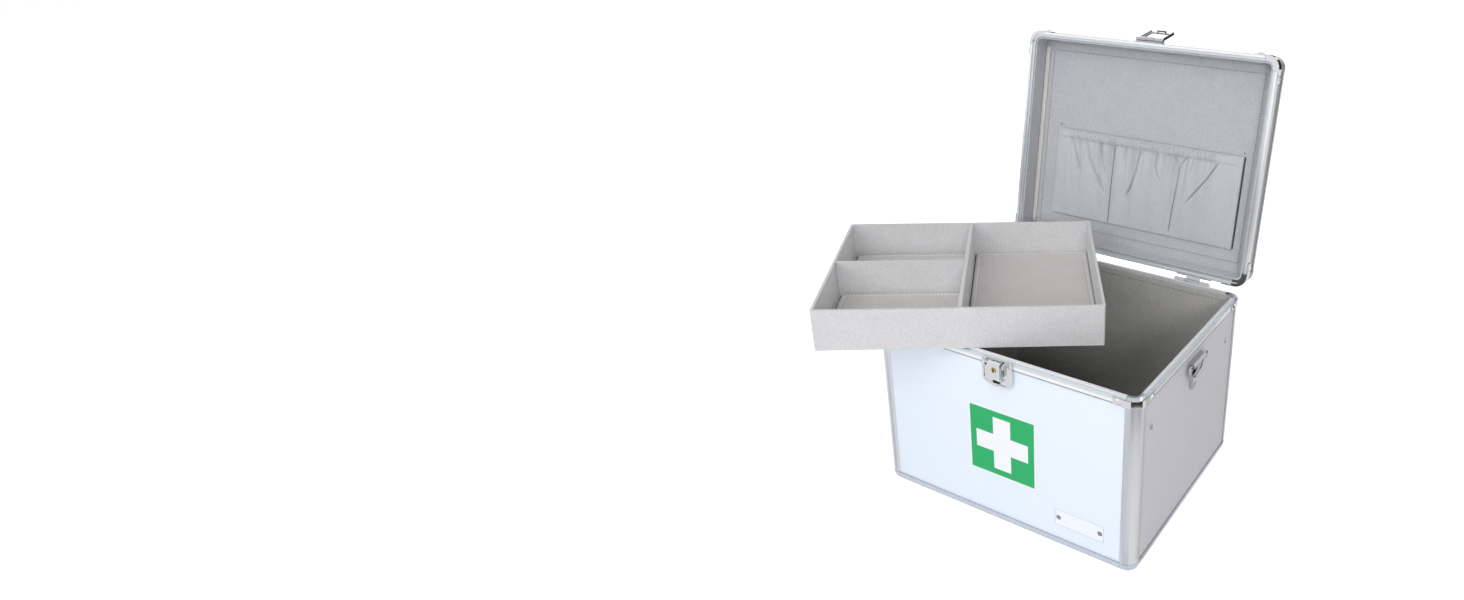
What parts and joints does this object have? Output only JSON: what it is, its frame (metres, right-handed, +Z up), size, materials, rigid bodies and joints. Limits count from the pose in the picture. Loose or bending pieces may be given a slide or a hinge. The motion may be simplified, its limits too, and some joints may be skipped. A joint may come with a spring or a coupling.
{
  "type": "medication lock box",
  "caption": "Open hinged case with metal-framed panels, a front key lock and swinging hasp, side strap rings, felt linings and a divided tray lying askew across its top.",
  "frame": {"origin": "centre of the flat underside of the body", "axes": "X to the right seen from the front, Y from the front with the lock to the back with the hinges, Z up"},
  "size_m": [0.4582, 0.4475, 0.4813],
  "materials": {
    "white_panel": "smooth white laminate with a faint blue tone",
    "grey_panel": "light grey laminate with fine level lines",
    "satin_aluminium": "satin drawn profile",
    "chrome": "bright plated steel",
    "spring_steel": "dark spring wire",
    "brass": "bright machined",
    "felt": "grey felt",
    "tray_felt": "pale grey felt",
    "pocket_cloth": "thin pale grey cloth, gathered",
    "black_grip": "black moulded grip"
  },
  "bodies": {
    "case": {"base_panel": "white_panel", "front_panel": "white_panel", "back_panel": "white_panel", "left_panel": "grey_panel", "right_panel": "grey_panel", "base_trim": "satin_aluminium", "body_rim": "satin_aluminium", "body_liner": "felt", "tray_ledge_left": "satin_aluminium", "tray_ledge_right": "satin_aluminium", "lock_plate": "chrome", "lock_spring": "spring_steel", "ring_bracket_left": "chrome", "ring_bracket_right": "chrome", "body_hinge_leaf_left": "chrome", "body_hinge_leaf_right": "chrome", "corner_post_front_left": "satin_aluminium", "corner_post_front_right": "satin_aluminium", "corner_post_back_right": "satin_aluminium", "corner_post_back_left": "satin_aluminium", "foot_cap_front_left": "satin_aluminium", "foot_cap_front_right": "satin_aluminium", "foot_cap_back_right": "satin_aluminium", "foot_cap_back_left": "satin_aluminium", "body_rim_corner_front_left": "chrome", "body_rim_corner_front_right": "chrome", "body_rim_corner_back_right": "chrome", "body_rim_corner_back_left": "chrome"},
    "lid": {"lid_top_panel": "white_panel", "lid_side_band": "grey_panel", "lid_trim": "satin_aluminium", "lid_rim": "satin_aluminium", "lid_liner": "felt", "lid_pocket": "pocket_cloth", "hasp_plate": "chrome", "handle_bracket_left": "chrome", "handle_bracket_right": "chrome", "lid_hinge_leaf_left": "chrome", "lid_hinge_leaf_right": "chrome", "lid_corner_front_left": "satin_aluminium", "lid_corner_front_right": "satin_aluminium", "lid_corner_back_right": "satin_aluminium", "lid_corner_back_left": "satin_aluminium", "lid_rim_corner_front_left": "chrome", "lid_rim_corner_front_right": "chrome", "lid_rim_corner_back_right": "chrome", "lid_rim_corner_back_left": "chrome"},
    "hasp": {"hasp_frame": "chrome"},
    "handle": {"handle_bow": "black_grip"},
    "lever": {"lock_lever": "chrome", "lock_tongue": "chrome"},
    "key": {"key_cylinder": "brass"},
    "ring_left": {"carry_ring_left": "chrome"},
    "ring_right": {"carry_ring_right": "chrome"},
    "tray": {"tray_box": "tray_felt", "tray_divider_long": "tray_felt", "tray_divider_cross": "tray_felt", "tray_pad_front_left": "tray_felt", "tray_pad_back_left": "tray_felt", "tray_pad_right": "tray_felt"}
  },
  "joints": [
    {"name": "lid_hinge", "type": "hinge", "parent": "case", "child": "lid", "pos_m": [0, 0.139, 0.2065], "axis": [1, 0, 0], "range_deg": [0, 100.25]},
    {"name": "hasp_swing", "type": "hinge", "parent": "lid", "child": "hasp", "pos_m": [0.001, 0.19592, 0.47577], "axis": [1, 0, 0], "range_deg": [0, 164]},
    {"name": "handle_swing", "type": "hinge", "parent": "lid", "child": "handle", "pos_m": [0, 0.2089, 0.33511], "axis": [1, 0, 0], "range_deg": [-10, 169]},
    {"name": "lock_release", "type": "hinge", "parent": "case", "child": "lever", "pos_m": [0.001, -0.137, 0.2055], "axis": [-1, 0, 0], "range_deg": [0, 22], "stiffness_Nm_per_rad": 0.02, "springref_deg": -11.46},
    {"name": "key_turn", "type": "hinge", "parent": "lever", "child": "key", "pos_m": [0.001, -0.14, 0.2], "axis": [0, -1, 0], "range_deg": [0, 90]},
    {"name": "ring_left_swing", "type": "hinge", "parent": "case", "child": "ring_left", "pos_m": [-0.1632, 0, 0.189], "axis": [0, 1, 0], "range_deg": [0, 150]},
    {"name": "ring_right_swing", "type": "hinge", "parent": "case", "child": "ring_right", "pos_m": [0.1632, 0, 0.189], "axis": [0, -1, 0], "range_deg": [0, 150]},
    {"name": "tray_lift_away", "type": "slide", "parent": "case", "child": "tray", "axis": [0, -1, 0], "range_m": [0, 0.3305]}
  ],
  "couplings": [
    {"joint": "tray_lift_away", "follows": "lid_hinge", "m_per_rad": 0.1886}
  ]
}
